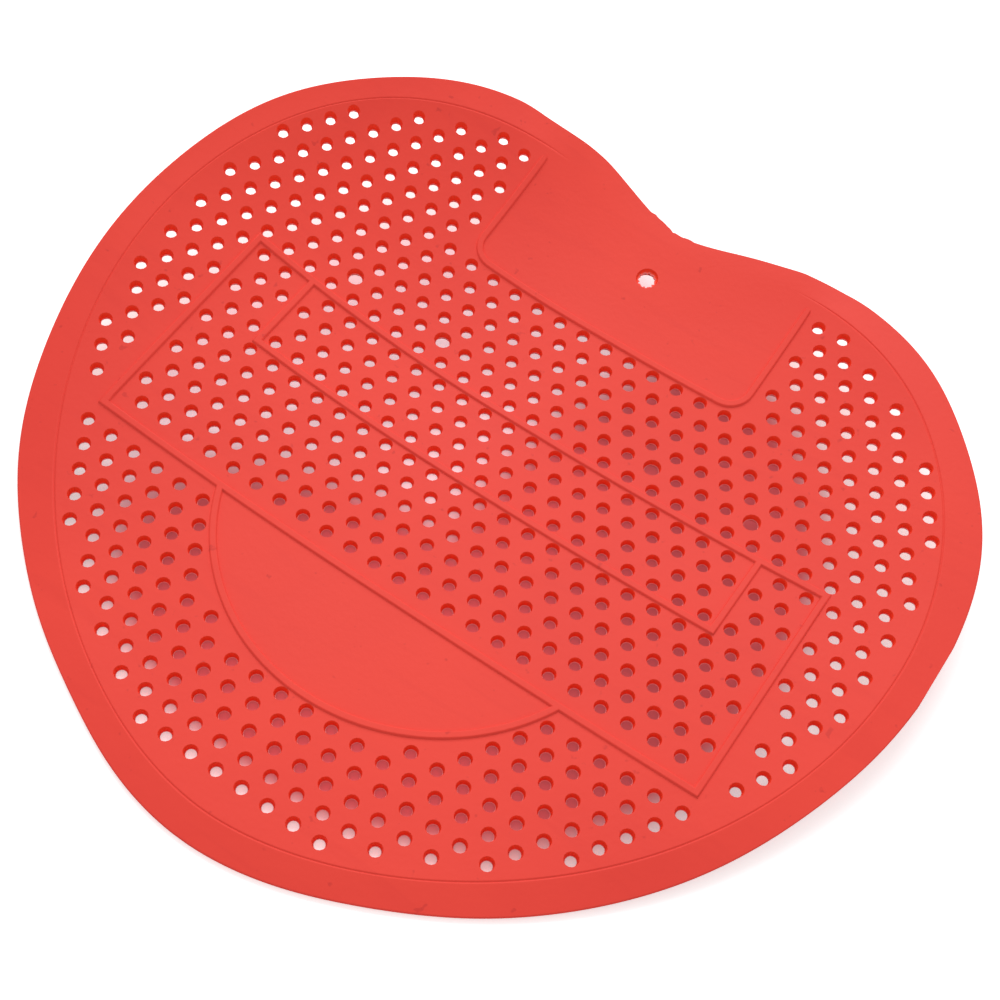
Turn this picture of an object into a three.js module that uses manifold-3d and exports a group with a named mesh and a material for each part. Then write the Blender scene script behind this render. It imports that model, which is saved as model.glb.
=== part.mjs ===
// Urinal screen: one moulded sheet of soft vinyl, a rounded heart in plan with a thin sloping rim.
// Raised ribs frame a wide panel, a band across it and two plain pads. A staggered field of small
// tapered drain holes fills the rest. The sheet lies on its middle strip, and both lobes and the
// notch curl up off the ground. It is drawn flat first, and the finished solid is then curled.
// Millimetres, +Z up, notch towards +Y. While it is flat, the upper face is at Z 0.
import * as THREE from 'three';
import { mergeGeometries, mergeVertices } from 'three/addons/utils/BufferGeometryUtils.js';
import Module from 'manifold-3d';

// Sheet, and the rim that slopes down to its edge
const sheetThickness = 2.2;
const rimWidth = 6;
const rimEdgeThickness = 1.1;

// Outline, as half of the heart: tip, widest point, crest of the lobe and notch
const tipY = -98.5;
const halfWidth = 92;
const crestX = 28.4;
const crestY = 69.6;
const notchY = 61.9;

// Lengths of the curve handles at those four points
const tipRoundness = 37.3;
const sideFullness = 58.1;
const shoulderRise = 35.8;
const shoulderReach = 37.4;
const crestReach = 5.8;
const notchReach = 6.3;
const outlineSteps = 8;

// Staggered lattice of drain holes
const holePitch = 5.6;
const rowStep = 4.5;
const firstRow = -13;
const lastRow = 19;
const lastColumn = 14.5;

// Drain holes, measured across the corners, narrower at the underside
const holeSides = 3;
const holeTop = 3.1;
const holeBottom = 2.6;
const wideHoleTop = 3.8;
const wideHoleRow = 3;
const wideHoleColumns = [4.5, 8.5];
const rimClearance = 1.8;
const ribClearance = 2.1;
const plainColumn = 12.5;
const plainRows = [5, 7, 9];

// Ribs stand between rows and columns of the lattice
const ribWidth = 1.6;
const ribHeight = 0.8;
const frameColumn = 12;
const frameTipRow = 9;
const bandColumn = 9.5;
const bandTipRow = 2.5;
const sharedRow = -1.5;
const padRow = -7.5;

// Tip pad: the segment between the frame and an arc
const arcRadius = 42.4;
const arcCentreRow = 5.1;
const arcSteps = 8;

// Notch pad: legs that run up to the rim, with rounded lower corners
const padHalfWidth = 32.5;
const padCornerRadius = 4.5;
const padCornerSteps = 2;
const padLegEnd = 61;

// Recess in the notch pad, with a torn hole through its floor
const recessY = 49.7;
const recessDiameter = 5.2;
const recessDepth = 1.3;
const recessSides = 12;
const tornHoleDiameter = 3.4;
const tornHolePoints = 7;
const tornHoleBite = 0.25;

// Curl: the middle strip stays flat, and the lift grows with the square of the distance from it
const flatHalfWidth = 5.6;
const leftCurl = 0.0022;
const leftTwist = 0.0000287;
const rightCurl = 0.0009;
const rightTwist = 0.0000105;
const notchCurl = 0.0022;
const curlTolerance = 0.2;

// How far the cutters run past the faces that they cut
const overcut = 1;

const wasm = await Module();
wasm.setup();

function solidOf(geometry) {
  geometry.deleteAttribute('normal');
  geometry.deleteAttribute('uv');
  const merged = mergeVertices(geometry);
  return new wasm.Manifold(new wasm.Mesh({
    numProp: 3,
    vertProperties: merged.attributes.position.array,
    triVerts: new Uint32Array(merged.index.array),
  }));
}

function extruded(shape, bottom, top, steps) {
  const geometry = new THREE.ExtrudeGeometry(shape, {
    depth: top - bottom,
    bevelEnabled: false,
    curveSegments: steps,
  });
  return geometry.translate(0, 0, bottom);
}

function heart() {
  const shape = new THREE.Shape();
  shape.moveTo(0, tipY);
  shape.bezierCurveTo(tipRoundness, tipY, halfWidth, -sideFullness, halfWidth, 0);
  shape.bezierCurveTo(halfWidth, shoulderRise, crestX + shoulderReach, crestY, crestX, crestY);
  shape.bezierCurveTo(crestX - crestReach, crestY, notchReach, notchY, 0, notchY);
  shape.bezierCurveTo(-notchReach, notchY, crestReach - crestX, crestY, -crestX, crestY);
  shape.bezierCurveTo(-crestX - shoulderReach, crestY, -halfWidth, shoulderRise, -halfWidth, 0);
  shape.bezierCurveTo(-halfWidth, -sideFullness, -tipRoundness, tipY, 0, tipY);
  return shape;
}

// The upper bevel is the sloping rim; the lower one is trimmed off level with the underside
function sheet() {
  const slope = sheetThickness - rimEdgeThickness;
  const wall = rimEdgeThickness + overcut;
  const geometry = new THREE.ExtrudeGeometry(heart(), {
    depth: wall,
    curveSegments: outlineSteps,
    bevelSegments: 1,
    bevelThickness: slope,
    bevelSize: rimWidth,
    bevelOffset: -rimWidth,
  });
  geometry.translate(0, 0, -slope - wall);
  const trim = new THREE.BoxGeometry(4 * halfWidth, 4 * halfWidth, 4 * sheetThickness);
  trim.translate(0, 0, -3 * sheetThickness);
  return solidOf(geometry).subtract(solidOf(trim));
}

// Every rib is rooted halfway down in the sheet
function rib(shape, steps) {
  return solidOf(extruded(shape, -sheetThickness / 2, ribHeight, steps));
}


const frameX = frameColumn * holePitch;
const bandX = bandColumn * holePitch;
const sharedY = -sharedRow * rowStep;
const bandTipY = -bandTipRow * rowStep;
const frameTipY = -frameTipRow * rowStep;
const arcCentreY = -arcCentreRow * rowStep;
const padY = -padRow * rowStep;
const ribLines = [
  [-frameX, sharedY, frameX, sharedY],
  [-frameX, frameTipY, frameX, frameTipY],
  [-frameX, frameTipY, -frameX, sharedY],
  [frameX, frameTipY, frameX, sharedY],
  [-bandX, bandTipY, bandX, bandTipY],
  [-bandX, bandTipY, -bandX, sharedY],
  [bandX, bandTipY, bandX, sharedY],
];

// The frame and the band across it share the rib nearest the notch
function frameRib() {
  const half = ribWidth / 2;
  const corners = (...points) => points.map(([x, y]) => new THREE.Vector2(x, y));
  const shape = new THREE.Shape(corners(
    [-frameX - half, frameTipY - half],
    [frameX + half, frameTipY - half],
    [frameX + half, sharedY + half],
    [-frameX - half, sharedY + half],
  ));
  shape.holes.push(new THREE.Path(corners(
    [-bandX + half, bandTipY + half],
    [bandX - half, bandTipY + half],
    [bandX - half, sharedY - half],
    [-bandX + half, sharedY - half],
  )));
  shape.holes.push(new THREE.Path(corners(
    [-frameX + half, sharedY - half],
    [-bandX - half, sharedY - half],
    [-bandX - half, bandTipY - half],
    [bandX + half, bandTipY - half],
    [bandX + half, sharedY - half],
    [frameX - half, sharedY - half],
    [frameX - half, frameTipY + half],
    [-frameX + half, frameTipY + half],
  )));
  return rib(shape, 1);
}

// The arc rib ends inside the rib that closes the frame towards the tip
function arcRib() {
  const start = Math.asin((frameTipY - arcCentreY) / arcRadius);
  const end = -Math.PI - start;
  const shape = new THREE.Shape();
  shape.absarc(0, arcCentreY, arcRadius + ribWidth / 2, start, end, true);
  shape.absarc(0, arcCentreY, arcRadius - ribWidth / 2, end, start, false);
  return rib(shape, arcSteps);
}

function padRib() {
  const half = ribWidth / 2;
  const cornerX = padHalfWidth - padCornerRadius;
  const cornerY = padY + padCornerRadius;
  const quarter = Math.PI / 2;
  const shape = new THREE.Shape();
  shape.moveTo(-padHalfWidth - half, padLegEnd);
  shape.absarc(-cornerX, cornerY, padCornerRadius + half, 2 * quarter, 3 * quarter, false);
  shape.absarc(cornerX, cornerY, padCornerRadius + half, -quarter, 0, false);
  shape.lineTo(padHalfWidth + half, padLegEnd);
  shape.lineTo(padHalfWidth - half, padLegEnd);
  shape.absarc(cornerX, cornerY, padCornerRadius - half, 0, -quarter, true);
  shape.absarc(-cornerX, cornerY, padCornerRadius - half, 3 * quarter, 2 * quarter, true);
  shape.lineTo(-padHalfWidth + half, padLegEnd);
  return rib(shape, padCornerSteps);
}

function distanceToLine(x, y, [x0, y0, x1, y1]) {
  const nearest = new THREE.Line3(new THREE.Vector3(x0, y0, 0), new THREE.Vector3(x1, y1, 0))
    .closestPointToPoint(new THREE.Vector3(x, y, 0), true, new THREE.Vector3());
  return Math.hypot(x - nearest.x, y - nearest.y);
}

// Distance from a point inside the outline to the nearest edge of the sheet
const edge = heart().getPoints(5 * outlineSteps);
function distanceToEdge(x, y) {
  const distances = edge.map((point) => Math.hypot(x - point.x, y - point.y));
  return Math.min(...distances);
}

function insideEdge(x, y) {
  return edge.slice(1).filter((end, i) => {
    const start = edge[i];
    if (start.y > y === end.y > y) {
      return false;
    }
    return x < start.x + (y - start.y) * (end.x - start.x) / (end.y - start.y);
  }).length % 2 === 1;
}

function onPad(x, y) {
  const onNotchPad = Math.abs(x) < padHalfWidth + ribClearance && y > padY - ribClearance;
  const fromArc = Math.hypot(x, y - arcCentreY);
  const onTipPad = y < frameTipY && fromArc < arcRadius + ribClearance;
  return onNotchPad || onTipPad;
}

// Places of the lattice that are clear of the rim, the ribs and the pads
function holePlaces() {
  const places = [];
  for (let row = firstRow; row <= lastRow; row += 1) {
    const y = -row * rowStep;
    for (let column = Math.abs(row % 2) / 2; column <= lastColumn; column += 1) {
      const plain = column === plainColumn && plainRows.includes(row);
      for (const x of column === 0 ? [0] : [-column * holePitch, column * holePitch]) {
        const clearOfRibs = ribLines.every((line) => distanceToLine(x, y, line) >= ribClearance);
        const clearOfRim = insideEdge(x, y) && distanceToEdge(x, y) >= rimWidth + rimClearance;
        if (!plain && clearOfRibs && clearOfRim && !onPad(x, y)) {
          places.push({ x, y, wide: row === wideHoleRow * -1 && wideHoleColumns.includes(column) });
        }
      }
    }
  }
  return places;
}

function holeCutter({ x, y, wide }) {
  const top = (wide ? wideHoleTop : holeTop) / 2;
  const bottom = wide ? top : holeBottom / 2;
  const taper = (top - bottom) / sheetThickness;
  const height = sheetThickness + 2 * overcut;
  const upper = top + taper * overcut;
  const lower = bottom - taper * overcut;
  const towardsX = Math.PI / 2;
  const geometry = new THREE.CylinderGeometry(upper, lower, height, holeSides, 1, false, towardsX);
  return geometry.rotateX(Math.PI / 2).translate(x, y, -sheetThickness / 2);
}

function holeCutters() {
  return solidOf(mergeGeometries(holePlaces().map(holeCutter)));
}

function recessCutter() {
  const radius = recessDiameter / 2;
  const height = recessDepth + overcut;
  const geometry = new THREE.CylinderGeometry(radius, radius, height, recessSides);
  return solidOf(geometry.rotateX(Math.PI / 2).translate(0, recessY, overcut - height / 2));
}

function tornHoleCutter() {
  const points = [];
  for (let i = 0; i < 2 * tornHolePoints; i += 1) {
    const angle = Math.PI * i / tornHolePoints;
    const radius = tornHoleDiameter / 2 * (i % 2 ? 1 - tornHoleBite : 1);
    points.push(new THREE.Vector2(radius * Math.cos(angle), recessY + radius * Math.sin(angle)));
  }
  return solidOf(extruded(new THREE.Shape(points), -sheetThickness - overcut, overcut, 1));
}

function flatScreen() {
  const ribs = frameRib().add(arcRib()).add(padRib());
  return sheet().subtract(holeCutters()).subtract(recessCutter()).subtract(tornHoleCutter()).add(ribs);
}

// Faces of the flat solid, as points and corner triples that can be divided and turned
function facesOf(solid) {
  const mesh = solid.getMesh();
  const points = [];
  for (let i = 0; i < mesh.vertProperties.length; i += 3) {
    points.push(new THREE.Vector3(...mesh.vertProperties.slice(i, i + 3)));
  }
  const faces = [];
  for (let i = 0; i < mesh.triVerts.length; i += 3) {
    faces.push([...mesh.triVerts.slice(i, i + 3)]);
  }
  return { points, faces };
}

// Each edge with its two faces, and the corner of each face that lies off the edge
function edgesOf(faces) {
  const edges = new Map();
  faces.forEach((face, index) => {
    for (let corner = 0; corner < 3; corner += 1) {
      const a = face[corner];
      const b = face[(corner + 1) % 3];
      const key = a < b ? `${a}_${b}` : `${b}_${a}`;
      const side = { face: index, from: a, to: b, off: face[(corner + 2) % 3] };
      if (edges.has(key)) {
        edges.get(key).push(side);
      } else {
        edges.set(key, [side]);
      }
    }
  });
  return [...edges.values()];
}

function angleAt(points, corner, a, b) {
  const toA = points[a].clone().sub(points[corner]);
  const toB = points[b].clone().sub(points[corner]);
  return toA.angleTo(toB);
}

function normalOf(points, [a, b, c]) {
  return new THREE.Triangle(points[a], points[b], points[c]).getNormal(new THREE.Vector3());
}

// Within a flat face, an edge between two wide angles is turned the other way, until none is left
function turnEdges({ points, faces }) {
  let turned = true;
  while (turned) {
    turned = false;
    const done = new Set();
    for (const [first, second] of edgesOf(faces)) {
      if (done.has(first.face) || done.has(second.face)) {
        continue;
      }
      const { from, to, off } = first;
      const wide = angleAt(points, off, from, to) + angleAt(points, second.off, from, to);
      if (wide < Math.PI + 1e-4) {
        continue;
      }
      const flat = normalOf(points, faces[first.face]).dot(normalOf(points, faces[second.face]));
      if (flat > 1 - 1e-6) {
        faces[first.face] = [off, from, second.off];
        faces[second.face] = [second.off, to, off];
        done.add(first.face);
        done.add(second.face);
        turned = true;
      }
    }
  }
}

// Across, each side bends up along a parabola; the notch side bends up the same way lengthwise.
// The plan shortens by what the slope takes up, so that the sheet isn't stretched.
function curled({ x, y, z }) {
  const across = Math.max(0, Math.abs(x) - flatHalfWidth);
  const along = Math.max(0, y);
  const bend = Math.max(0, x < 0 ? leftCurl + leftTwist * y : rightCurl + rightTwist * y);
  return new THREE.Vector3(
    x - Math.sign(x) * 2 / 3 * bend ** 2 * across ** 3,
    y - 2 / 3 * notchCurl ** 2 * along ** 3,
    z + bend * across ** 2 + notchCurl * along ** 2,
  );
}

// How far the middle of a straight edge would miss the curled surface
function missOfEdge(a, b) {
  return curled(a.clone().lerp(b, 0.5)).distanceTo(curled(a).lerp(curled(b), 0.5));
}

// Edges that can't follow the curl get a point at their middle, the worst first
function divideEdges({ points, faces }) {
  let divided = true;
  while (divided) {
    divided = false;
    const done = new Set();
    const stiff = edgesOf(faces)
      .map(([first, second]) => ({ first, second, miss: missOfEdge(points[first.from], points[first.to]) }))
      .filter(({ miss }) => miss > curlTolerance)
      .sort((a, b) => b.miss - a.miss);
    for (const { first, second } of stiff) {
      if (done.has(first.face) || done.has(second.face)) {
        continue;
      }
      const middle = points.length;
      points.push(points[first.from].clone().lerp(points[first.to], 0.5));
      for (const { face, from, to, off } of [first, second]) {
        faces[face] = [from, middle, off];
        faces.push([middle, to, off]);
        done.add(face);
      }
      divided = true;
    }
  }
}

function curledScreen() {
  const mesh = facesOf(flatScreen());
  turnEdges(mesh);
  divideEdges(mesh);
  turnEdges(mesh);
  const geometry = new THREE.BufferGeometry().setFromPoints(mesh.points.map(curled));
  geometry.setIndex(mesh.faces.flat());
  geometry.computeBoundingBox();
  const { min, max } = geometry.boundingBox;
  geometry.translate(-(min.x + max.x) / 2, -(min.y + max.y) / 2, -min.z);
  geometry.computeVertexNormals();
  return geometry;
}

const vinyl = new THREE.MeshStandardMaterial({
  name: 'red soft vinyl',
  color: 0xec5348,
  roughness: 0.5,
  metalness: 0,
  flatShading: true,
});

const screen = new THREE.Mesh(curledScreen(), vinyl);
screen.name = 'deodorizer_screen';

const model = new THREE.Group();
model.add(screen);
export default model;
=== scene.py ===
"""Urinal screen in red soft vinyl, lying on a white studio floor.

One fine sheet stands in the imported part's place: the same outline, ribs, pads and drain holes, with
round holes and rounded edges. It is drawn flat in millimetres, with its upper face at height 0, then
curled up at its lobes and its notch, and set on the floor with its middle over the origin.
"""
import math

import bpy
import numpy as np
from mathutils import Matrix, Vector
from mathutils.geometry import delaunay_2d_cdt


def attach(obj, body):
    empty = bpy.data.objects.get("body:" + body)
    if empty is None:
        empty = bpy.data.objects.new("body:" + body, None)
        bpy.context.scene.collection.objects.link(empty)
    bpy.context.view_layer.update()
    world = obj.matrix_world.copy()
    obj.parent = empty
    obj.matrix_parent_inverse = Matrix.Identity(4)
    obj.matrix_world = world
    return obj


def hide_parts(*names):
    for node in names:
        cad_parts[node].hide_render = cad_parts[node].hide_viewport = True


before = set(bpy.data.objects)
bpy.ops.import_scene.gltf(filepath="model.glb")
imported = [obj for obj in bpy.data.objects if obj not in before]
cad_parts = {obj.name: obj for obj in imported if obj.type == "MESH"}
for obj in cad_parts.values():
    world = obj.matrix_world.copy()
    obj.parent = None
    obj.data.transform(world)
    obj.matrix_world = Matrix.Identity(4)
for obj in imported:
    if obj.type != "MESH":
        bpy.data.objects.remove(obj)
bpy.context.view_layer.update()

MM = 0.001

# Sheet, its sloped rim and the fine groove on the crease between them, in millimetres
SHEET_THICKNESS = 2.2
RIM_WIDTH = 6.0
RIM_EDGE = 1.1
CREASE_ROUND = 0.3
RIM_INNER = RIM_WIDTH + CREASE_ROUND
GROOVE_INSET = 5.95
GROOVE_DEPTH = 0.16
GROOVE_SPREAD = 0.13

# Insets of the rim's rings from the edge, then the section of the rounded edge down to the
# underside: inset, height and tilt of the normal in degrees
RIM_INSETS = (6.14, 6.05, GROOVE_INSET, 5.85, 5.76, 5.6, 4.6, 3.4, 2.2, 1.1, 0.3)
EDGE_SECTION = (
    (0.09, -1.14, 50),
    (0.0, -1.32, 10),
    (0.04, -1.55, -12),
    (0.30, -1.95, -50),
    (0.90, -SHEET_THICKNESS, -90),
    (3.5, -SHEET_THICKNESS, -90),
)

# The crease fades out towards the notch between these distances from the middle line, and the rim
# keeps this share of its fall there
CREASE_END = 26.0
CREASE_FULL = 40.0
NOTCH_FALL = 0.2

# Outline of half the heart: tip, widest point, crest of the lobe and notch, with curve handles
TIP_Y = -98.5
HALF_WIDTH = 92.0
CREST = (28.4, 69.6)
NOTCH_Y = 61.9
TIP_ROUNDNESS = 37.3
SIDE_FULLNESS = 58.1
SHOULDER_RISE = 35.8
SHOULDER_REACH = 37.4
CREST_REACH = 5.8
NOTCH_REACH = 6.3
OUTLINE_POINTS = 900

# Where the real edge leaves that heart: direction from the middle and spread in degrees, and how far
# it stands out in millimetres
EDGE_BULGES = (
    (-110, 10, -0.8),
    (-70, 10, -0.5),
    (-20, 13, -0.7),
    (19, 13, 1.5),
    (46, 10, 0.6),
    (69, 6, -1.2),
    (90, 8, 0.5),
    (102, 10, 1.0),
    (121, 13, 0.8),
    (146, 14, -1.2),
    (174, 13, -0.6),
    (-143, 14, 1.2),
)

# Bounds that the edge keeps to at the sides, the tip and the crests. It nears the last one softly.
SIDE_LIMIT = 91.9
TIP_LIMIT = -98.42
CREST_LIMIT = 69.5
LIMIT_SOFTNESS = 2.0

# Two strips of flash on the notch: where each one starts, is full, starts to end and ends
LONG_FLASH = (-7.2, -6.2, -1.5, -0.9)
SHORT_FLASH = (-0.4, 0.1, 3.6, 4.2)

# Staggered lattice of drain holes. Row 0 crosses the middle and rows count towards the tip; columns
# are in pitches from the middle line.
PITCH = 5.6
ROW_STEP = 4.5
ROWS = range(-13, 20)
LAST_COLUMN = 14.5

# Radii of a hole at its top, at its waist and at the underside, the depth of the waist and the width
# of the lip there
HOLE_TOP = 1.44
HOLE_WAIST = 1.20
WAIST_DEPTH = 1.25
LIP = 0.18
HOLE_BOTTOM = 1.5
HOLE_SIDES = 14

# Four wider holes, and places beside the frame that have none
WIDE_HOLE = 1.85
WIDE_WAIST = 1.60
WIDE_ROW = -3
WIDE_COLUMNS = (4.5, 8.5)
PLAIN_COLUMN = 12.5
PLAIN_ROWS = (5, 7, 9)

# Least distance of a hole's middle from the rim and from the middle line of a rib
RIM_CLEARANCE = 1.8
RIB_CLEARANCE = 2.1

# Ribs and pads, between rows and columns of the lattice
FRAME_X = 12 * PITCH
BAND_X = 9.5 * PITCH
SHARED_Y = 1.5 * ROW_STEP
BAND_TIP_Y = -2.5 * ROW_STEP
FRAME_TIP_Y = -9 * ROW_STEP
ARC_Y = -5.1 * ROW_STEP
ARC_RADIUS = 42.4
PAD_Y = 7.5 * ROW_STEP
PAD_X = 32.5
PAD_CORNER = 4.5
PAD_LEG_END = 61.0

# Section of a rib from its foot to its crest: distance from the middle line, height and tilt of the
# normal in degrees. The legs of the pad's rib thin out over their last stretch to blunt ends.
RIB_SECTION = (
    (0.80, 0.00, 90),
    (0.75, 0.06, 45),
    (0.66, 0.30, 40),
    (0.56, 0.42, 60),
    (0.42, 0.46, 90),
)
LEG_THINNING = 3.0
LEG_END_SHARE = 0.8
LEG_CAP = 0.3

# Recess in the notch pad, and the torn hole through its floor
RECESS_CENTRE = (0.7, 50.3)
RECESS_RADIUS = 2.35
RECESS_DEPTH = 0.6
TORN_RADIUS = 1.62
RECESS_SIDES = 54

# Loose points between the features: their step, their waviness and their distance from holes and ribs
FILLER_STEP = 3.0
FILLER_WAVE = 0.4
FILLER_FROM_HOLES = 3.4
FILLER_FROM_RIBS = 1.7

# Curl: a flat middle strip, then a lift with the square of the distance from it. Each side has its
# bend across the middle and that bend's growth towards the notch, per millimetre.
FLAT_HALF = 5.6
LEFT_CURL = (0.0022, 0.0000287)
RIGHT_CURL = (0.0009, 0.0000105)
NOTCH_CURL = 0.0022

# Colours of the vinyl
DARK_CLOUD = (0.80, 0.055, 0.040, 1)
LIGHT_CLOUD = (0.88, 0.068, 0.046, 1)
STREAK = (0.66, 0.040, 0.034, 1)
SPECK = (0.50, 0.030, 0.028, 1)
# Painted glow: the red of the hole walls, brighter and purer for light shining through the vinyl
PAINTED_WALL_GLOW = (0.97, 0.055, 0.020, 1)
# Painted highlight: a pale pink on the thin lips of the holes, where their edge catches light
PAINTED_LIP_HIGHLIGHT = (1.0, 0.40, 0.40, 1)

# Zones of the floor, middle and half sizes in metres: the two ovals where the screen lies tight on
# it, and the oval that the whole screen shades. Then the floor's colours in them, painted shade and
# red bounce light under the screen and white in the open, and its glow.
TIGHT_ZONES = (((0.034, 0.000), (0.035, 0.070)), ((0.002, -0.038), (0.056, 0.032)))
SHADED_ZONE = ((0.0, 0.0), (0.080, 0.078))
# Painted contact shade with red bounce light, where the screen lies tight
TIGHT_PAINTED_SHADE = (0.58, 0.095, 0.105, 1)
# Painted pink of red bounce light, under the rest of the screen
PAINTED_PINK_BOUNCE = (0.98, 0.84, 0.89, 1)
OPEN_FLOOR = (0.90, 0.90, 0.90, 1)
FLOOR_GLOW = 0.55
FLOOR_REACH = 3.0

# Camera of the photograph: its place over the flat sheet's middle in millimetres, its turn in degrees
CAMERA_PLACE = (85.8, -167.3, 275.3)
CAMERA_TURN = (32.35, -4.59, 34.34)
CAMERA_LENS = 61.2

# Soft light in metres and watts, and the strength of the even surround
KEY_PLACE = (-0.45, 0.75, 0.9)
KEY_SIZE = 0.9
KEY_POWER = 10.5
SURROUND = 0.6


def smooth(low, high, value):
    """0 below low, 1 above high and an S-curve between, for arrays."""
    t = np.clip((value - low) / (high - low), 0.0, 1.0)
    return t * t * (3.0 - 2.0 * t)


def bezier(a, b, c, d, count=400):
    """Cubic curve through a and d with handles b and c."""
    t = np.linspace(0.0, 1.0, count)[:, None]
    a, b, c, d = (np.array(p, float) for p in (a, b, c, d))
    return (1 - t) ** 3 * a + 3 * (1 - t) ** 2 * t * b + 3 * (1 - t) * t * t * c + t ** 3 * d


def spaced(path, count):
    """The same closed path with count points at equal steps along it."""
    path = np.vstack([path, path[:1]])
    step = np.hypot(*np.diff(path, axis=0).T)
    along = np.concatenate([[0.0], np.cumsum(step)])
    at = np.linspace(0.0, along[-1], count, endpoint=False)
    return np.column_stack([np.interp(at, along, path[:, 0]), np.interp(at, along, path[:, 1])])


def left_normals(path):
    """Unit mitre vectors to the left of a closed path, lengthened at corners."""
    ahead = np.roll(path, -1, axis=0) - path
    ahead /= np.hypot(*ahead.T)[:, None]
    behind = np.roll(ahead, 1, axis=0)
    mitre = np.column_stack([-(ahead + behind)[:, 1], (ahead + behind)[:, 0]])
    mitre /= np.hypot(*mitre.T)[:, None]
    cosine = mitre[:, 0] * -ahead[:, 1] + mitre[:, 1] * ahead[:, 0]
    return mitre / np.maximum(cosine, 0.5)[:, None]


def distance_to_segment(points, a, b):
    """Distance from each point to the straight line from a to b."""
    a, b = np.array(a, float), np.array(b, float)
    t = np.clip(((points - a) @ (b - a)) / ((b - a) @ (b - a)), 0.0, 1.0)
    return np.hypot(*(points - a - t[:, None] * (b - a)).T)


def distance_to_points(points, targets, block_size=2000):
    """Distance from each point to the nearest target point, in blocks that fit in memory."""
    nearest = [
        np.sqrt(((block[:, None, :] - targets[None, :, :]) ** 2).sum(axis=2).min(axis=1))
        for block in np.array_split(points, max(1, len(points) // block_size))
    ]
    return np.concatenate(nearest)


def inside(points, path):
    """True for each point inside a closed path, by counting crossings to its right."""
    start, end = path, np.roll(path, -1, axis=0)
    x, y = points[:, :1], points[:, 1:]
    spans = (start[:, 1] > y) != (end[:, 1] > y)
    rise = np.where(end[:, 1] == start[:, 1], 1.0, end[:, 1] - start[:, 1])
    crossing = start[:, 0] + (y - start[:, 1]) * (end[:, 0] - start[:, 0]) / rise
    return (spans & (x < crossing)).sum(axis=1) % 2 == 1


def arc_points(radius, start, end, centre, count):
    """Points on an arc, from the start angle to the end angle in radians."""
    angle = np.linspace(start, end, count)
    return np.column_stack([centre[0] + radius * np.cos(angle), centre[1] + radius * np.sin(angle)])


def circle(count):
    """Unit vectors all round, anticlockwise."""
    angle = np.arange(count) * 2 * math.pi / count
    return np.column_stack([np.cos(angle), np.sin(angle)])


def tilted(sideways, degrees):
    """Unit normals that lean from level, at 0 degrees, to straight up, at 90."""
    c, s = math.cos(math.radians(degrees)), math.sin(math.radians(degrees))
    return np.column_stack([sideways * c, np.full(len(sideways), s)])


def lifted(plan, height):
    """Plan points with a height."""
    return np.column_stack([plan, np.broadcast_to(height, len(plan))])


def heart_outline():
    """Closed outline, anticlockwise from the tip: three curves to the notch, and their mirror."""
    cx, cy = CREST
    right = np.vstack([
        bezier((0, TIP_Y), (TIP_ROUNDNESS, TIP_Y), (HALF_WIDTH, -SIDE_FULLNESS), (HALF_WIDTH, 0))[:-1],
        bezier((HALF_WIDTH, 0), (HALF_WIDTH, SHOULDER_RISE), (cx + SHOULDER_REACH, cy), CREST)[:-1],
        bezier(CREST, (cx - CREST_REACH, cy), (NOTCH_REACH, NOTCH_Y), (0, NOTCH_Y)),
    ])
    left = right[1:-1][::-1] * (-1, 1)
    return spaced(np.vstack([right, left]), OUTLINE_POINTS)


def edge_bulge(outline):
    """How far the real edge stands outside the outline: a sum of bell curves over the direction from
    the middle, and on the notch two strips of rough flash."""
    direction = np.degrees(np.arctan2(outline[:, 1], outline[:, 0]))
    bulge = np.zeros(len(outline))
    for centre, spread, reach in EDGE_BULGES:
        away = (direction - centre + 180.0) % 360.0 - 180.0
        bulge += reach * np.exp(-(away / spread) ** 2)
    x = outline[:, 0]
    on_notch = outline[:, 1] > 0
    rough = 0.5 + 0.3 * np.sin(5.1 * x) + 0.2 * np.sin(8.3 * x + 1.0)
    long_flash, short_flash = (
        smooth(start, full, x) * (1 - smooth(fade, end, x))
        for start, full, fade, end in (LONG_FLASH, SHORT_FLASH)
    )
    return bulge + on_notch * (long_flash * (0.25 + 0.25 * rough) + short_flash * 0.4 * rough)


def hole_places(outline):
    """Lattice points clear of the rim, the ribs and the two pads, and which of them are wide."""
    places = []
    for row in ROWS:
        columns = np.arange(0.5 * (row % 2), LAST_COLUMN + 0.1)
        if row in PLAIN_ROWS:
            columns = columns[columns != PLAIN_COLUMN]
        columns = np.unique(np.concatenate([-columns, columns]))
        wide = (row == WIDE_ROW) & np.isin(np.abs(columns), WIDE_COLUMNS)
        places.append(np.column_stack([columns * PITCH, np.full(len(columns), -row * ROW_STEP), wide]))
    places = np.vstack(places)
    points = places[:, :2]
    clear = np.ones(len(points), bool)
    for half, low_y in ((FRAME_X, FRAME_TIP_Y), (BAND_X, BAND_TIP_Y)):
        corners = ((-half, SHARED_Y), (-half, low_y), (half, low_y), (half, SHARED_Y))
        for a, b in zip(corners, corners[1:]):
            clear &= distance_to_segment(points, a, b) >= RIB_CLEARANCE
    clear &= distance_to_segment(points, (-FRAME_X, SHARED_Y), (FRAME_X, SHARED_Y)) >= RIB_CLEARANCE
    from_arc = np.hypot(points[:, 0], points[:, 1] - ARC_Y)
    clear &= ~((points[:, 1] < FRAME_TIP_Y) & (from_arc < ARC_RADIUS + RIB_CLEARANCE))
    clear &= ~((np.abs(points[:, 0]) < PAD_X + RIB_CLEARANCE) & (points[:, 1] > PAD_Y - RIB_CLEARANCE))
    clear &= inside(points, outline)
    clear &= distance_to_points(points, outline) >= RIM_WIDTH + RIM_CLEARANCE
    return points[clear], places[clear, 2] > 0.5


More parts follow.
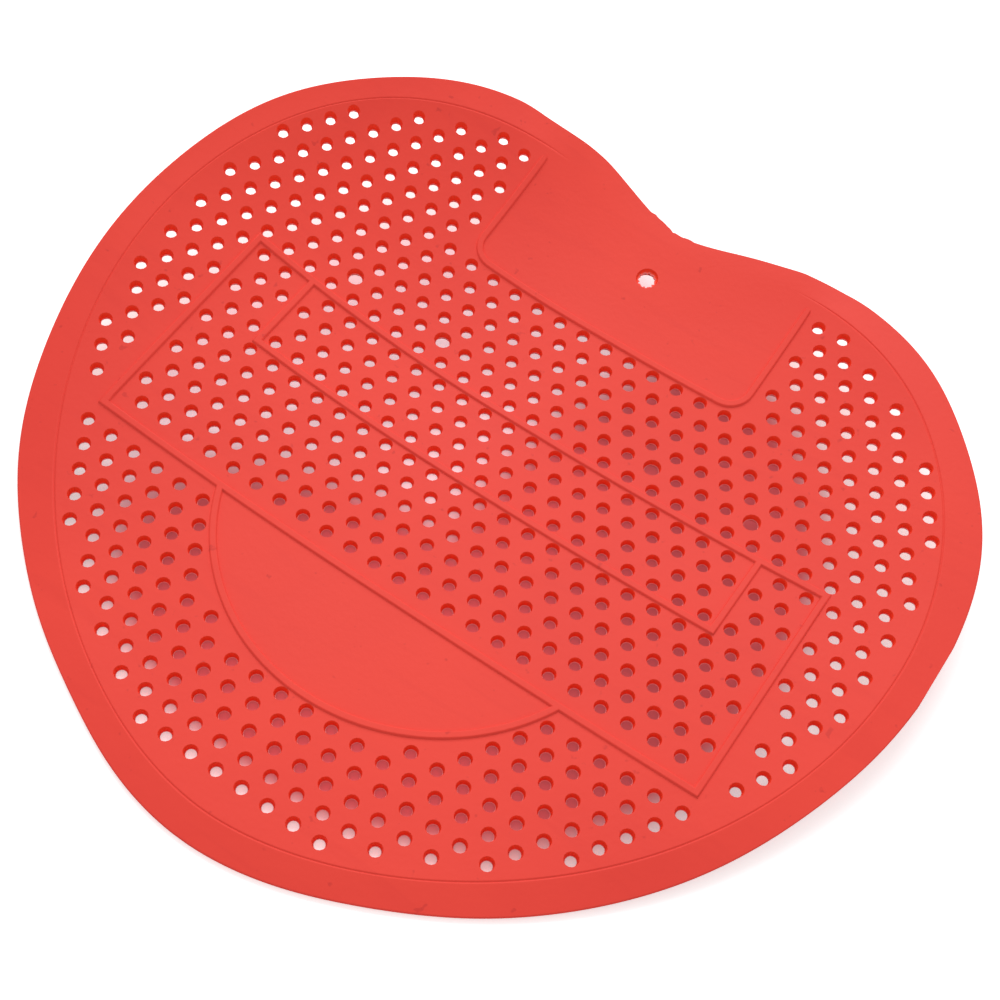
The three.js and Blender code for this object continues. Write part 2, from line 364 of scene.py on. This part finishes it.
def curl(points, normals):
    """Bends flat points and their normals up along the two parabolas.

    Height grows with the square of the distance from the flat strip, and the plan shortens by two
    thirds of the bend squared times the distance cubed, so that the sheet keeps its length. Normals
    turn by the inverse transpose of the map's slopes.
    """
    x, y, z = points.T
    side = np.sign(x)
    across = np.maximum(0.0, np.abs(x) - FLAT_HALF)
    along = np.maximum(0.0, y)
    base = np.where(x < 0, LEFT_CURL[0], RIGHT_CURL[0])
    twist = np.where(x < 0, LEFT_CURL[1], RIGHT_CURL[1])
    bend = np.maximum(0.0, base + twist * y)
    twist = np.where(bend > 0, twist, 0.0)
    curled = np.column_stack([
        x - side * 2 / 3 * bend ** 2 * across ** 3,
        y - 2 / 3 * NOTCH_CURL ** 2 * along ** 3,
        z + bend * across ** 2 + NOTCH_CURL * along ** 2,
    ])
    slopes = np.zeros((len(points), 3, 3))
    slopes[:, 0, 0] = 1 - 2 * bend ** 2 * across ** 2
    slopes[:, 0, 1] = -side * 4 / 3 * bend * twist * across ** 3
    slopes[:, 1, 1] = 1 - 2 * NOTCH_CURL ** 2 * along ** 2
    slopes[:, 2, 0] = side * 2 * bend * across
    slopes[:, 2, 1] = twist * across ** 2 + 2 * NOTCH_CURL * along
    slopes[:, 2, 2] = 1
    turned = np.einsum("nji,nj->ni", np.linalg.inv(slopes), normals)
    return curled, turned / np.linalg.norm(turned, axis=1)[:, None]


def refined(corners, step=2.2):
    """A closed path of straight lines with extra points, about a step apart."""
    parts = []
    for a, b in zip(corners, np.roll(corners, -1, axis=0)):
        count = max(1, round(np.hypot(*(b - a)) / step))
        parts.append(a + (b - a) * (np.arange(count) / count)[:, None])
    return np.vstack(parts)


def rib_paths():
    """Closed middle lines of the ribs, one round each region that they border, region on the left."""
    start = math.asin((FRAME_TIP_Y - ARC_Y) / ARC_RADIUS)
    arc = arc_points(ARC_RADIUS, -math.pi - start, start, (0, ARC_Y), 64)
    band = np.array([(-BAND_X, BAND_TIP_Y), (BAND_X, BAND_TIP_Y), (BAND_X, SHARED_Y), (-BAND_X, SHARED_Y)])
    panel = np.array([
        (-FRAME_X, SHARED_Y), (-FRAME_X, FRAME_TIP_Y), (FRAME_X, FRAME_TIP_Y), (FRAME_X, SHARED_Y),
        (BAND_X, SHARED_Y), (BAND_X, BAND_TIP_Y), (-BAND_X, BAND_TIP_Y), (-BAND_X, SHARED_Y),
    ])
    outside = np.vstack([
        [(-FRAME_X, FRAME_TIP_Y), (-FRAME_X, SHARED_Y), (FRAME_X, SHARED_Y), (FRAME_X, FRAME_TIP_Y)],
        arc[::-1],
    ])
    return [refined(path) for path in (band, panel, arc, outside)]


def pad_rib_path():
    """Middle line of the rib round the notch pad: a leg, a rounded corner, the bar and back up."""
    quarter = math.pi / 2
    corner_y = PAD_Y + PAD_CORNER
    legs = np.linspace(PAD_LEG_END, corner_y, 12)[:-1]
    bar = np.linspace(-PAD_X + PAD_CORNER, PAD_X - PAD_CORNER, 26)[1:-1]
    left = (-PAD_X + PAD_CORNER, corner_y)
    right = (PAD_X - PAD_CORNER, corner_y)
    return np.vstack([
        np.column_stack([np.full(len(legs), -PAD_X), legs]),
        arc_points(PAD_CORNER, 2 * quarter, 3 * quarter, left, 8),
        np.column_stack([bar, np.full(len(bar), PAD_Y)]),
        arc_points(PAD_CORNER, -quarter, 0, right, 8),
        np.column_stack([np.full(len(legs), PAD_X), legs[::-1]]),
    ])


def closed_rib_loops():
    """Loops of the frame, the band and the arc: each region's side of every rib."""
    loops = []
    for path in rib_paths():
        mitre = left_normals(path)
        outward = mitre / np.hypot(*mitre.T)[:, None]
        for reach, height, tilt in RIB_SECTION:
            loops.append((path + mitre * reach, np.full(len(path), height), tilted(outward, tilt)))
    return loops


def pad_rib_loops():
    """Loops of the open rib round the notch pad: along one side, round its end and back."""
    path = pad_rib_path()
    ahead = np.gradient(path, axis=0)
    ahead /= np.hypot(*ahead.T)[:, None]
    left = np.column_stack([-ahead[:, 1], ahead[:, 0]])
    from_end = 1 - smooth(PAD_LEG_END - LEG_THINNING, PAD_LEG_END, path[:, 1])
    thin = LEG_END_SHARE + (1 - LEG_END_SHARE) * from_end
    sideways = np.vstack([left, ahead[-1:], -left[::-1], -ahead[:1]])
    loops = []
    for reach, height, tilt in RIB_SECTION:
        side = left * (reach * thin)[:, None]
        cap = ahead * (LEG_CAP * reach * thin)[:, None]
        points = np.vstack([path + side, path[-1:] + cap[-1:], (path - side)[::-1], path[:1] - cap[:1]])
        heights = height * np.concatenate([thin, thin[-1:], thin[::-1], thin[:1]])
        loops.append((points, heights, tilted(sideways, tilt)))
    return loops


def rim_height(inset, soft):
    """Height of the upper face near the edge: level, a fine groove on the crease and an even slope down.

    Where soft is 1, at the notch, a shallow parabola without a crease takes its place.
    """
    slope = (SHEET_THICKNESS - RIM_EDGE) / RIM_WIDTH
    into = RIM_INNER - inset
    rounded = -slope * into ** 2 / (4 * CREASE_ROUND)
    creased = np.where(into < 2 * CREASE_ROUND, rounded, slope * (inset - RIM_WIDTH))
    creased = np.where(into < 0, 0.0, creased)
    creased = creased - GROOVE_DEPTH * np.exp(-((inset - GROOVE_INSET) / GROOVE_SPREAD) ** 2)
    eased = -NOTCH_FALL * slope * RIM_WIDTH * (1 - inset / RIM_INNER) ** 2
    return creased * (1 - soft) + eased * soft


class Sheet:
    """Collects flat points with their normals and their place in a bore, and the faces between them.

    The place in a bore is 0 on the faces of the sheet, 0.5 on the wall of a hole and 1 on its lip.
    """

    def __init__(self):
        self.points, self.normals, self.bores, self.faces, self.count = [], [], [], [], 0

    def add(self, points, normals, bore=0.0):
        """Adds points and gives their numbers."""
        self.points.append(points)
        self.normals.append(normals)
        self.bores.append(np.full(len(points), bore))
        self.count += len(points)
        return np.arange(self.count - len(points), self.count)

    def strip(self, first, second):
        """Quads between rings of equal length, whose last axis closes on itself."""
        after_first, after_second = np.roll(first, -1, axis=-1), np.roll(second, -1, axis=-1)
        quads = np.stack([first, second, after_second, after_first], axis=-1)
        self.faces.append(quads.reshape(-1, 4))

    def wall(self, top, bottom, section):
        """Strips from a ring of the upper face down to one of the underside.

        The rings between come from the section: points, normals and place in the bore.
        """
        last = top
        for points, normals, bore in section:
            ring = self.add(points, normals, bore).reshape(top.shape)
            self.strip(ring, last)
            last = ring
        self.strip(bottom, last)


def ring_plan(outline, inward, bulge, inset):
    """Plan of the rim's ring at an inset. The bulge of the edge fades to none at the crease, and the
    ring bends softly under the limit at the crests and stops at the other limits."""
    moved = outline + inward * (inset - bulge * (1 - inset / RIM_INNER))[:, None]
    level = CREST_LIMIT - LIMIT_SOFTNESS
    above = np.maximum(0.0, moved[:, 1] - level) / LIMIT_SOFTNESS
    y = np.where(above > 0, level + LIMIT_SOFTNESS * np.tanh(above), moved[:, 1])
    return np.column_stack([np.clip(moved[:, 0], -SIDE_LIMIT, SIDE_LIMIT), np.maximum(y, TIP_LIMIT)])


def rim_rings(sheet, outline, step=0.05):
    """Adds rings from the crease over the edge to the underside, and gives the first and the last.

    The normals of the upper rings follow the fall of the rim over a small step to either side.
    """
    inward = left_normals(outline)
    bulge = edge_bulge(outline)
    notch = (1 - smooth(CREASE_END, CREASE_FULL, np.abs(outline[:, 0]))) * (outline[:, 1] > 0)
    rings = []
    for inset in RIM_INSETS:
        plan = ring_plan(outline, inward, bulge, inset)
        fall = (rim_height(inset + step, notch) - rim_height(inset - step, notch)) / (2 * step)
        normal = np.column_stack([-inward * fall[:, None], np.ones(len(outline))])
        normal /= np.linalg.norm(normal, axis=1)[:, None]
        rings.append(sheet.add(lifted(plan, rim_height(inset, notch)), normal))
    for inset, height, tilt in EDGE_SECTION:
        plan = ring_plan(outline, inward, bulge, inset)
        rings.append(sheet.add(lifted(plan, height), tilted(-inward, tilt)))
    for first, second in zip(rings, rings[1:]):
        sheet.strip(first, second)
    return rings[0], rings[-1]


def torn_outline():
    """Ragged edge of the torn hole round its middle: a circle with short tongues left on it."""
    angle = np.arange(RECESS_SIDES) * 2 * math.pi / RECESS_SIDES
    ragged = 0.10 * np.sin(11 * angle + 0.7) + 0.07 * np.sin(17 * angle + 2.1) + 0.05 * np.sin(27 * angle)
    return (TORN_RADIUS * (1 + ragged))[:, None] * circle(RECESS_SIDES)


def filler_points(inner, features, holes):
    """A loose grid of points over the plain stretches, clear of the rim, the features and the holes."""
    x, y = np.meshgrid(np.arange(-90.0, 90.1, FILLER_STEP), np.arange(-96.0, 70.1, FILLER_STEP))
    x, y = x.ravel(), y.ravel()
    grid = np.column_stack([x + FILLER_WAVE * np.sin(y), y + FILLER_WAVE * np.sin(x)])
    grid = grid[inside(grid, inner)]
    grid = grid[distance_to_points(grid, holes) > FILLER_FROM_HOLES]
    return grid[distance_to_points(grid, features) > FILLER_FROM_RIBS]


def divided(plan, rings):
    """Triangles between plan points, with the sides of every closed ring kept as edges."""
    edges = np.vstack([np.stack([ring, np.roll(ring, -1)], axis=1) for ring in rings])
    found, _, triangles, sources, _, _ = delaunay_2d_cdt(
        [Vector(point) for point in plan.tolist()], edges.tolist(), [], 0, 1e-7)
    if len(found) != len(plan) or any(len(source) != 1 for source in sources):
        raise ValueError("the loops of the flat sheet cross or touch")
    return np.array([source[0] for source in sources])[np.array(triangles)]


def without_openings(triangles, plan, inner, openings):
    """The triangles less those that fill a hole or the recess, or that lie past the rim's inner ring."""
    owner = np.full(len(plan), -1)
    for number, ring in enumerate(openings):
        owner[ring] = number
    owned = owner[triangles]
    filling = (owned[:, 0] >= 0) & (owned[:, 0] == owned[:, 1]) & (owned[:, 1] == owned[:, 2])
    on_rim = (triangles < len(inner)).all(axis=1)
    beyond = on_rim & ~inside(plan[triangles].mean(axis=1), inner)
    return triangles[~filling & ~beyond]


def hole_rings(holes, radius):
    """Points of the ring round every hole, one hole after the other."""
    return (holes[:, None, :] + circle(HOLE_SIDES)[None] * radius[:, None, None]).reshape(-1, 2)


def hole_section(holes, top_radius, waist_radius):
    """Wall of every hole: a rounded top, a slope in to the waist and a thin lip there."""
    spokes = np.tile(circle(HOLE_SIDES), (len(holes), 1))
    tilt = math.degrees(math.atan2(HOLE_TOP - HOLE_WAIST, WAIST_DEPTH))
    rows = (
        (top_radius - 0.06, -0.07, tilt + 12, 0.5),
        (waist_radius, -WAIST_DEPTH, tilt, 0.5),
        (waist_radius - LIP, -WAIST_DEPTH - 0.05, 55, 1.0),
    )
    return [
        (lifted(hole_rings(holes, radius), height), tilted(-spokes, lean), bore)
        for radius, height, lean, bore in rows
    ]


def recess_section(recess, torn):
    """Wall and floor of the recess, then the edge of the torn hole through it."""
    spokes = circle(RECESS_SIDES)
    rows = (
        (recess - spokes * 0.08, -0.05, 45, 0.3),
        (recess - spokes * 0.13, -0.16, 12, 0.5),
        (recess - spokes * 0.20, 0.12 - RECESS_DEPTH, 20, 0.5),
        (recess - spokes * 0.32, -RECESS_DEPTH, 80, 0.5),
        (torn + spokes * 0.08, -RECESS_DEPTH - 0.05, 70, 0.7),
        (torn, -RECESS_DEPTH - 0.14, 5, 0.9),
    )
    return [(lifted(points, height), tilted(-spokes, lean), bore) for points, height, lean, bore in rows]


def screen_surface():
    """Points, normals and faces of the whole flat sheet, and its outline.

    The area inside the rim is divided once into triangles between the hole rings, the loops of the
    ribs and the rim. The upper face and the underside share that division, and every hole's wall
    joins its ring above to its ring below.
    """
    outline = heart_outline()
    inner = outline + left_normals(outline) * RIM_INNER
    holes, wide = hole_places(outline)
    top_radius = np.where(wide, WIDE_HOLE, HOLE_TOP)
    waist_radius = np.where(wide, WIDE_WAIST, HOLE_WAIST)
    low_radius = np.where(wide, WIDE_HOLE, HOLE_BOTTOM)
    recess = np.array(RECESS_CENTRE) + circle(RECESS_SIDES) * RECESS_RADIUS
    torn = np.array(RECESS_CENTRE) + torn_outline()
    loops = closed_rib_loops() + pad_rib_loops()
    loop_points, loop_heights, loop_normals = zip(*loops)
    filler = filler_points(inner, np.vstack([inner, recess, *loop_points]), holes)

    blocks = [inner, hole_rings(holes, top_radius), recess, *loop_points, filler]
    plan = np.vstack(blocks)
    inner_ring, hole_block, recess_ring, *loop_rings, _ = np.split(
        np.arange(len(plan)), np.cumsum([len(block) for block in blocks[:-1]]))
    hole_numbers = hole_block.reshape(-1, HOLE_SIDES)
    triangles = divided(plan, [inner_ring, recess_ring, *loop_rings, *hole_numbers])
    triangles = without_openings(triangles, plan, inner, [*hole_numbers, recess_ring])

    sheet = Sheet()
    top_ring, under_ring = rim_rings(sheet, outline)
    level = len(inner) + len(hole_block) + len(recess)
    height = np.concatenate([np.zeros(level), *loop_heights, np.zeros(len(filler))])
    up = np.array([[0.0, 0.0, 1.0]])
    normals = np.vstack([np.repeat(up, level, axis=0), *loop_normals, np.repeat(up, len(filler), axis=0)])
    upper = sheet.add(lifted(plan, height), normals)
    low_plan = plan.copy()
    low_plan[hole_block] = hole_rings(holes, low_radius)
    lower = sheet.add(lifted(low_plan, -SHEET_THICKNESS), np.repeat(-up, len(plan), axis=0))
    sheet.faces.append(upper[triangles])
    sheet.faces.append(lower[triangles][:, ::-1])
    sheet.strip(upper[inner_ring], top_ring)
    sheet.strip(under_ring, lower[inner_ring])
    sheet.wall(upper[hole_numbers], lower[hole_numbers], hole_section(holes, top_radius, waist_radius))
    sheet.wall(upper[recess_ring], lower[recess_ring], recess_section(recess, torn))
    return sheet, outline


def build_screen():
    """The fine sheet as one object, curled, with its middle over the origin and its strip on the floor."""
    sheet, outline = screen_surface()
    points, normals = curl(np.vstack(sheet.points), np.vstack(sheet.normals))
    edge, _ = curl(lifted(outline, 0.0), np.tile((0.0, 0.0, 1.0), (len(outline), 1)))
    centre = (edge.min(axis=0) + edge.max(axis=0)) / 2
    shift = np.array([-centre[0], -centre[1], SHEET_THICKNESS])
    faces = [face for block in sheet.faces for face in block.tolist()]
    mesh = bpy.data.meshes.new("screen_sheet")
    mesh.from_pydata(((points + shift) * MM).tolist(), [], faces)
    mesh.polygons.foreach_set("use_smooth", np.ones(len(faces), bool))
    mesh.normals_split_custom_set_from_vertices(normals.tolist())
    bore = mesh.attributes.new("bore", "FLOAT", "POINT")
    bore.data.foreach_set("value", np.concatenate(sheet.bores).astype(np.float32))
    mesh.validate()
    piece = bpy.data.objects.new("screen_sheet", mesh)
    bpy.context.collection.objects.link(piece)
    return piece, shift


class Graph:
    """Short calls for the nodes of one material or world. Each gives the node's output."""

    def __init__(self, owner):
        owner.use_nodes = True
        self.nodes, self.links = owner.node_tree.nodes, owner.node_tree.links

    def feed(self, value, socket):
        """Links an output to a socket."""
        self.links.new(value, socket)

    def place(self):
        """Place on the object, in metres."""
        return self.nodes.new("ShaderNodeTexCoord").outputs["Object"]

    def noise(self, place, scale, detail, distortion=0.0):
        """Cloudy values between 0 and 1."""
        node = self.nodes.new("ShaderNodeTexNoise")
        node.inputs["Scale"].default_value = scale
        node.inputs["Detail"].default_value = detail
        node.inputs["Distortion"].default_value = distortion
        self.feed(place, node.inputs["Vector"])
        return node.outputs["Fac"]

    def ranged(self, value, low=0.0, high=1.0, start=0.0, end=1.0, easing="LINEAR"):
        """Start where the value is low or less, end where it is high or more, and even between."""
        node = self.nodes.new("ShaderNodeMapRange")
        node.interpolation_type = easing
        for name, number in (("From Min", low), ("From Max", high), ("To Min", start), ("To Max", end)):
            node.inputs[name].default_value = number
        self.feed(value, node.inputs["Value"])
        return node.outputs["Result"]

    def tinted(self, factor, colour, tint):
        """A colour that goes over into a fixed tint as the factor goes from 0 to 1."""
        node = self.nodes.new("ShaderNodeMix")
        node.data_type = "RGBA"
        node.inputs["B"].default_value = tint
        self.feed(factor, node.inputs["Factor"])
        if isinstance(colour, tuple):
            node.inputs["A"].default_value = colour
        else:
            self.feed(colour, node.inputs["A"])
        return node.outputs["Result"]

    def bump(self, height, strength, distance):
        """Bump node for a height; its distance is in metres."""
        node = self.nodes.new("ShaderNodeBump")
        node.inputs["Strength"].default_value = strength
        node.inputs["Distance"].default_value = distance
        self.feed(height, node.inputs["Height"])
        return node

    def joined(self, operation, first, second):
        """One value from two, by a plain operation."""
        node = self.nodes.new("ShaderNodeMath")
        node.operation = operation
        self.feed(first, node.inputs[0])
        self.feed(second, node.inputs[1])
        return node.outputs["Value"]

    def oval_reach(self, place, zone):
        """Distance from an oval's middle in units of its half sizes: 1 on its edge."""
        (x, y), (half_x, half_y) = zone
        value = place
        for operation, amount in (("SUBTRACT", (x, y, 0)), ("DIVIDE", (half_x, half_y, 1))):
            node = self.nodes.new("ShaderNodeVectorMath")
            node.operation = operation
            node.inputs[1].default_value = amount
            self.feed(value, node.inputs[0])
            value = node.outputs["Vector"]
        length = self.nodes.new("ShaderNodeVectorMath")
        length.operation = "LENGTH"
        self.feed(value, length.inputs[0])
        return length.outputs["Value"]

    def seen_rays(self):
        """1 for camera, glossy and transmission rays, and 0 for the others."""
        rays = self.nodes.new("ShaderNodeLightPath").outputs
        seen = self.joined("MAXIMUM", rays["Is Camera Ray"], rays["Is Glossy Ray"])
        return self.joined("MAXIMUM", seen, rays["Is Transmission Ray"])


def vinyl_colour(graph, place, clouds):
    """Red with soft clouds, darker along streaks and in specks, and painted light in the holes.

    Streaks are noise stretched along one direction, and specks are the rare high values of a fine
    noise. The bore attribute gives the walls of the holes a brighter, purer red, a painted glow of light
    through the vinyl, and their thin lips a pale pink, a painted highlight.
    """
    turned = graph.nodes.new("ShaderNodeMapping")
    turned.inputs["Rotation"].default_value = (0, 0, math.radians(-32))
    turned.inputs["Scale"].default_value = (22.0, 190.0, 60.0)
    graph.feed(place, turned.inputs["Vector"])
    streaks = graph.noise(turned.outputs["Vector"], scale=1.0, detail=3.0, distortion=1.2)
    specks = graph.noise(place, scale=420.0, detail=2.0)
    bore = graph.nodes.new("ShaderNodeAttribute")
    bore.attribute_name = "bore"
    bore = bore.outputs["Fac"]
    colour = graph.tinted(graph.ranged(clouds, 0.25, 0.75), DARK_CLOUD, LIGHT_CLOUD)
    colour = graph.tinted(graph.ranged(streaks, 0.55, 0.85, end=0.2), colour, STREAK)
    colour = graph.tinted(graph.ranged(specks, 0.70, 0.76, end=0.4), colour, SPECK)
    # Painted glow of light through the vinyl on the walls of the holes
    colour = graph.tinted(graph.ranged(bore, 0.1, 0.5), colour, PAINTED_WALL_GLOW)
    # Painted highlight on the thin lips of the holes
    return graph.tinted(graph.ranged(bore, 0.55, 0.9), colour, PAINTED_LIP_HIGHLIGHT)


def vinyl_material():
    """Satin red vinyl, a little uneven in colour and gloss, with slow ripples and a fine grain."""
    material = bpy.data.materials.new("red_soft_vinyl")
    graph = Graph(material)
    shader = graph.nodes["Principled BSDF"]
    shader.inputs["IOR"].default_value = 1.45
    shader.inputs["Specular IOR Level"].default_value = 0.2
    place = graph.place()
    clouds = graph.noise(place, scale=16.0, detail=4.0, distortion=0.8)
    graph.feed(vinyl_colour(graph, place, clouds), shader.inputs["Base Color"])
    graph.feed(graph.ranged(clouds, start=0.42, end=0.60), shader.inputs["Roughness"])
    ripple = graph.bump(clouds, strength=0.5, distance=0.0006)
    grain = graph.bump(graph.noise(place, scale=900.0, detail=3.0), strength=0.3, distance=0.00012)
    graph.feed(ripple.outputs["Normal"], grain.inputs["Normal"])
    graph.feed(grain.outputs["Normal"], shader.inputs["Normal"])
    return material


def floor_material():
    """White floor with painted shade and painted red bounce light of the screen under it.

    Its colour is painted: a deep red of contact shade and red bounce light where the screen lies
    tight, a pale pink of red bounce light under the rest, and white in the open. Camera, glossy and
    transmission rays also see it glow a little in that colour, so that the open floor reads as white,
    and its shadows are softer.
    """
    material = bpy.data.materials.new("white_floor_painted_shade")
    graph = Graph(material)
    shader = graph.nodes["Principled BSDF"]
    shader.inputs["Roughness"].default_value = 0.9
    shader.inputs["Specular IOR Level"].default_value = 0.0
    place = graph.place()
    tight = graph.joined("MINIMUM", *(graph.oval_reach(place, zone) for zone in TIGHT_ZONES))
    shaded = graph.oval_reach(place, SHADED_ZONE)
    # Painted contact shade and painted pink bounce light under the screen, fading to the open white floor
    colour = graph.tinted(graph.ranged(tight, 0.80, 1.20, easing="SMOOTHSTEP"), TIGHT_PAINTED_SHADE, PAINTED_PINK_BOUNCE)
    colour = graph.tinted(graph.ranged(shaded, 0.80, 1.0, easing="SMOOTHSTEP"), colour, OPEN_FLOOR)
    graph.feed(colour, shader.inputs["Base Color"])
    graph.feed(colour, shader.inputs["Emission Color"])
    graph.feed(graph.ranged(graph.seen_rays(), end=FLOOR_GLOW), shader.inputs["Emission Strength"])
    return material


def build_floor():
    """A level white floor with painted shade under the screen, wide enough to fill every view."""
    mesh = bpy.data.meshes.new("floor")
    corners = [(x * FLOOR_REACH, y * FLOOR_REACH, 0) for x, y in ((-1, -1), (1, -1), (1, 1), (-1, 1))]
    mesh.from_pydata(corners, [], [(0, 1, 2, 3)])
    floor = bpy.data.objects.new("floor", mesh)
    bpy.context.collection.objects.link(floor)
    floor.data.materials.append(floor_material())


def build_camera(shift):
    """Camera with the photograph's view, moved as the sheet is moved on to the floor."""
    data = bpy.data.cameras.new("photo_camera")
    data.sensor_width = 36.0
    data.lens = CAMERA_LENS
    data.clip_start = 0.01
    camera = bpy.data.objects.new("photo_camera", data)
    camera.location = [(c + s) * MM for c, s in zip(CAMERA_PLACE, shift)]
    camera.rotation_euler = [math.radians(angle) for angle in CAMERA_TURN]
    bpy.context.collection.objects.link(camera)
    bpy.context.scene.camera = camera


def build_light():
    """A large soft square light from behind, as the photograph's camera sees it, facing the screen."""
    data = bpy.data.lights.new("key", "AREA")
    data.size = KEY_SIZE
    data.energy = KEY_POWER
    light = bpy.data.objects.new("key", data)
    light.location = KEY_PLACE
    light.rotation_euler = (-Vector(KEY_PLACE)).to_track_quat("-Z", "Y").to_euler()
    bpy.context.collection.objects.link(light)


def build_surround():
    """An even surround, which reads as white to camera, glossy and transmission rays."""
    world = bpy.data.worlds.new("surround")
    graph = Graph(world)
    background = graph.nodes["Background"]
    background.inputs["Color"].default_value = (1, 1, 1, 1)
    graph.feed(graph.ranged(graph.seen_rays(), start=SURROUND), background.inputs["Strength"])
    bpy.context.scene.world = world


screen, shift = build_screen()
build_camera(shift)
screen.data.materials.append(vinyl_material())
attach(screen, "root")
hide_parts("deodorizer_screen")
build_floor()
build_light()
build_surround()
bpy.context.scene.view_settings.view_transform = "Standard"
